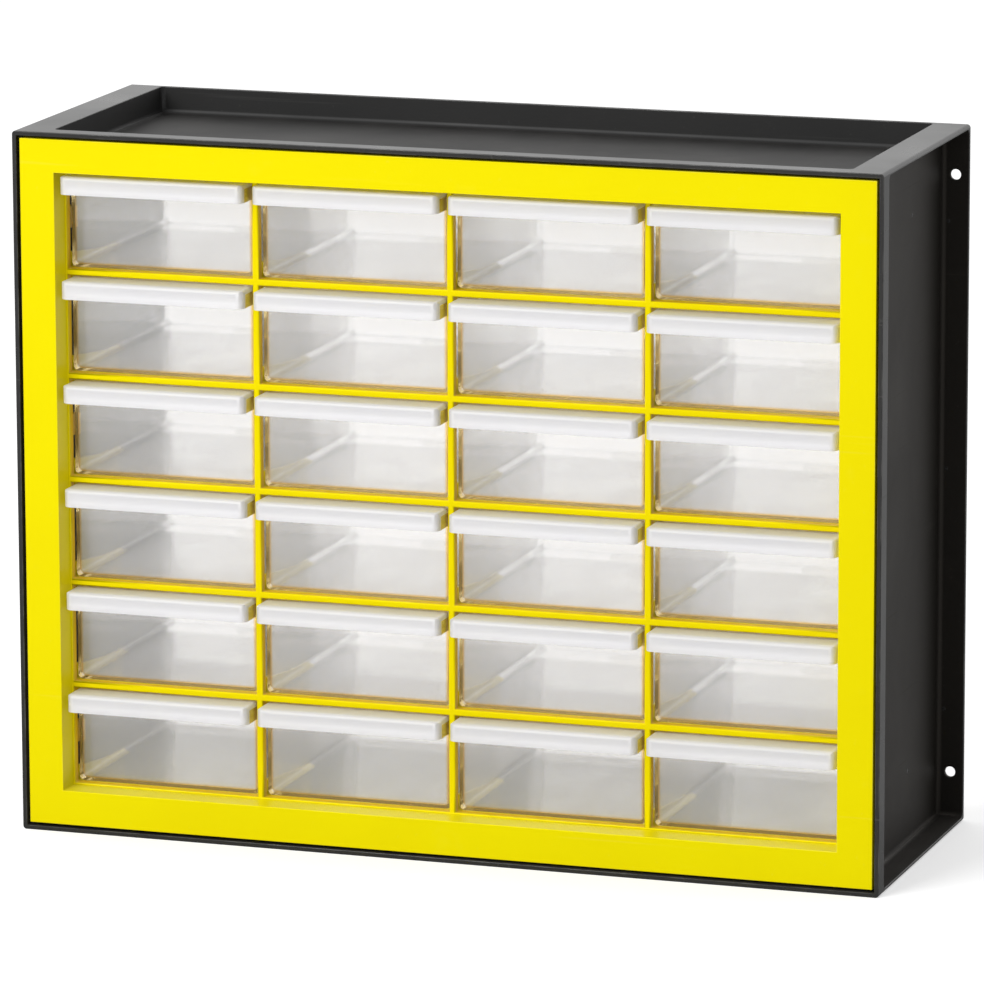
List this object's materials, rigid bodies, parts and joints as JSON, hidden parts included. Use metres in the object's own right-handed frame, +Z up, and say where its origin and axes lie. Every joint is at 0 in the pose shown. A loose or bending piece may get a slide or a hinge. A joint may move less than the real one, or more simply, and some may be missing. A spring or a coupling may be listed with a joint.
{
  "type": "parts bin cabinet",
  "caption": "Wall or bench cabinet of small clear drawers in a grid: black moulded case with a tray on top, yellow front frame, and an open back.",
  "frame": {"origin": "middle of the base, under the centre of the case", "axes": "+X to the right seen from the front, +Y to the back so the drawers face -Y, +Z up"},
  "size_m": [0.495, 0.178, 0.394],
  "materials": {
    "case_black": "satin moulded black",
    "frame_yellow": "semi-gloss bright yellow",
    "rack_yellow": "satin yellow",
    "drawer_clear": "milky clear"
  },
  "bodies": {
    "cabinet": {"case_shell": "case_black", "drawer_frame": "frame_yellow", "runner_rack_1": "rack_yellow", "runner_rack_2": "rack_yellow", "runner_rack_3": "rack_yellow", "runner_rack_4": "rack_yellow", "runner_rack_5": "rack_yellow", "runner_rack_6": "rack_yellow"},
    "drawer_r1_c1": {"drawer_r1_c1": "drawer_clear"},
    "drawer_r1_c2": {"drawer_r1_c2": "drawer_clear"},
    "drawer_r1_c3": {"drawer_r1_c3": "drawer_clear"},
    "drawer_r1_c4": {"drawer_r1_c4": "drawer_clear"},
    "drawer_r2_c1": {"drawer_r2_c1": "drawer_clear"},
    "drawer_r2_c2": {"drawer_r2_c2": "drawer_clear"},
    "drawer_r2_c3": {"drawer_r2_c3": "drawer_clear"},
    "drawer_r2_c4": {"drawer_r2_c4": "drawer_clear"},
    "drawer_r3_c1": {"drawer_r3_c1": "drawer_clear"},
    "drawer_r3_c2": {"drawer_r3_c2": "drawer_clear"},
    "drawer_r3_c3": {"drawer_r3_c3": "drawer_clear"},
    "drawer_r3_c4": {"drawer_r3_c4": "drawer_clear"},
    "drawer_r4_c1": {"drawer_r4_c1": "drawer_clear"},
    "drawer_r4_c2": {"drawer_r4_c2": "drawer_clear"},
    "drawer_r4_c3": {"drawer_r4_c3": "drawer_clear"},
    "drawer_r4_c4": {"drawer_r4_c4": "drawer_clear"},
    "drawer_r5_c1": {"drawer_r5_c1": "drawer_clear"},
    "drawer_r5_c2": {"drawer_r5_c2": "drawer_clear"},
    "drawer_r5_c3": {"drawer_r5_c3": "drawer_clear"},
    "drawer_r5_c4": {"drawer_r5_c4": "drawer_clear"},
    "drawer_r6_c1": {"drawer_r6_c1": "drawer_clear"},
    "drawer_r6_c2": {"drawer_r6_c2": "drawer_clear"},
    "drawer_r6_c3": {"drawer_r6_c3": "drawer_clear"},
    "drawer_r6_c4": {"drawer_r6_c4": "drawer_clear"}
  },
  "joints": [
    {"name": "slide_r1_c1", "type": "slide", "parent": "cabinet", "child": "drawer_r1_c1", "axis": [0, -1, 0], "range_m": [0, 0.141]},
    {"name": "slide_r1_c2", "type": "slide", "parent": "cabinet", "child": "drawer_r1_c2", "axis": [0, -1, 0], "range_m": [0, 0.141]},
    {"name": "slide_r1_c3", "type": "slide", "parent": "cabinet", "child": "drawer_r1_c3", "axis": [0, -1, 0], "range_m": [0, 0.141]},
    {"name": "slide_r1_c4", "type": "slide", "parent": "cabinet", "child": "drawer_r1_c4", "axis": [0, -1, 0], "range_m": [0, 0.141]},
    {"name": "slide_r2_c1", "type": "slide", "parent": "cabinet", "child": "drawer_r2_c1", "axis": [0, -1, 0], "range_m": [0, 0.141]},
    {"name": "slide_r2_c2", "type": "slide", "parent": "cabinet", "child": "drawer_r2_c2", "axis": [0, -1, 0], "range_m": [0, 0.141]},
    {"name": "slide_r2_c3", "type": "slide", "parent": "cabinet", "child": "drawer_r2_c3", "axis": [0, -1, 0], "range_m": [0, 0.141]},
    {"name": "slide_r2_c4", "type": "slide", "parent": "cabinet", "child": "drawer_r2_c4", "axis": [0, -1, 0], "range_m": [0, 0.141]},
    {"name": "slide_r3_c1", "type": "slide", "parent": "cabinet", "child": "drawer_r3_c1", "axis": [0, -1, 0], "range_m": [0, 0.141]},
    {"name": "slide_r3_c2", "type": "slide", "parent": "cabinet", "child": "drawer_r3_c2", "axis": [0, -1, 0], "range_m": [0, 0.141]},
    {"name": "slide_r3_c3", "type": "slide", "parent": "cabinet", "child": "drawer_r3_c3", "axis": [0, -1, 0], "range_m": [0, 0.141]},
    {"name": "slide_r3_c4", "type": "slide", "parent": "cabinet", "child": "drawer_r3_c4", "axis": [0, -1, 0], "range_m": [0, 0.141]},
    {"name": "slide_r4_c1", "type": "slide", "parent": "cabinet", "child": "drawer_r4_c1", "axis": [0, -1, 0], "range_m": [0, 0.141]},
    {"name": "slide_r4_c2", "type": "slide", "parent": "cabinet", "child": "drawer_r4_c2", "axis": [0, -1, 0], "range_m": [0, 0.141]},
    {"name": "slide_r4_c3", "type": "slide", "parent": "cabinet", "child": "drawer_r4_c3", "axis": [0, -1, 0], "range_m": [0, 0.141]},
    {"name": "slide_r4_c4", "type": "slide", "parent": "cabinet", "child": "drawer_r4_c4", "axis": [0, -1, 0], "range_m": [0, 0.141]},
    {"name": "slide_r5_c1", "type": "slide", "parent": "cabinet", "child": "drawer_r5_c1", "axis": [0, -1, 0], "range_m": [0, 0.141]},
    {"name": "slide_r5_c2", "type": "slide", "parent": "cabinet", "child": "drawer_r5_c2", "axis": [0, -1, 0], "range_m": [0, 0.141]},
    {"name": "slide_r5_c3", "type": "slide", "parent": "cabinet", "child": "drawer_r5_c3", "axis": [0, -1, 0], "range_m": [0, 0.141]},
    {"name": "slide_r5_c4", "type": "slide", "parent": "cabinet", "child": "drawer_r5_c4", "axis": [0, -1, 0], "range_m": [0, 0.141]},
    {"name": "slide_r6_c1", "type": "slide", "parent": "cabinet", "child": "drawer_r6_c1", "axis": [0, -1, 0], "range_m": [0, 0.141]},
    {"name": "slide_r6_c2", "type": "slide", "parent": "cabinet", "child": "drawer_r6_c2", "axis": [0, -1, 0], "range_m": [0, 0.141]},
    {"name": "slide_r6_c3", "type": "slide", "parent": "cabinet", "child": "drawer_r6_c3", "axis": [0, -1, 0], "range_m": [0, 0.141]},
    {"name": "slide_r6_c4", "type": "slide", "parent": "cabinet", "child": "drawer_r6_c4", "axis": [0, -1, 0], "range_m": [0, 0.141]}
  ]
}
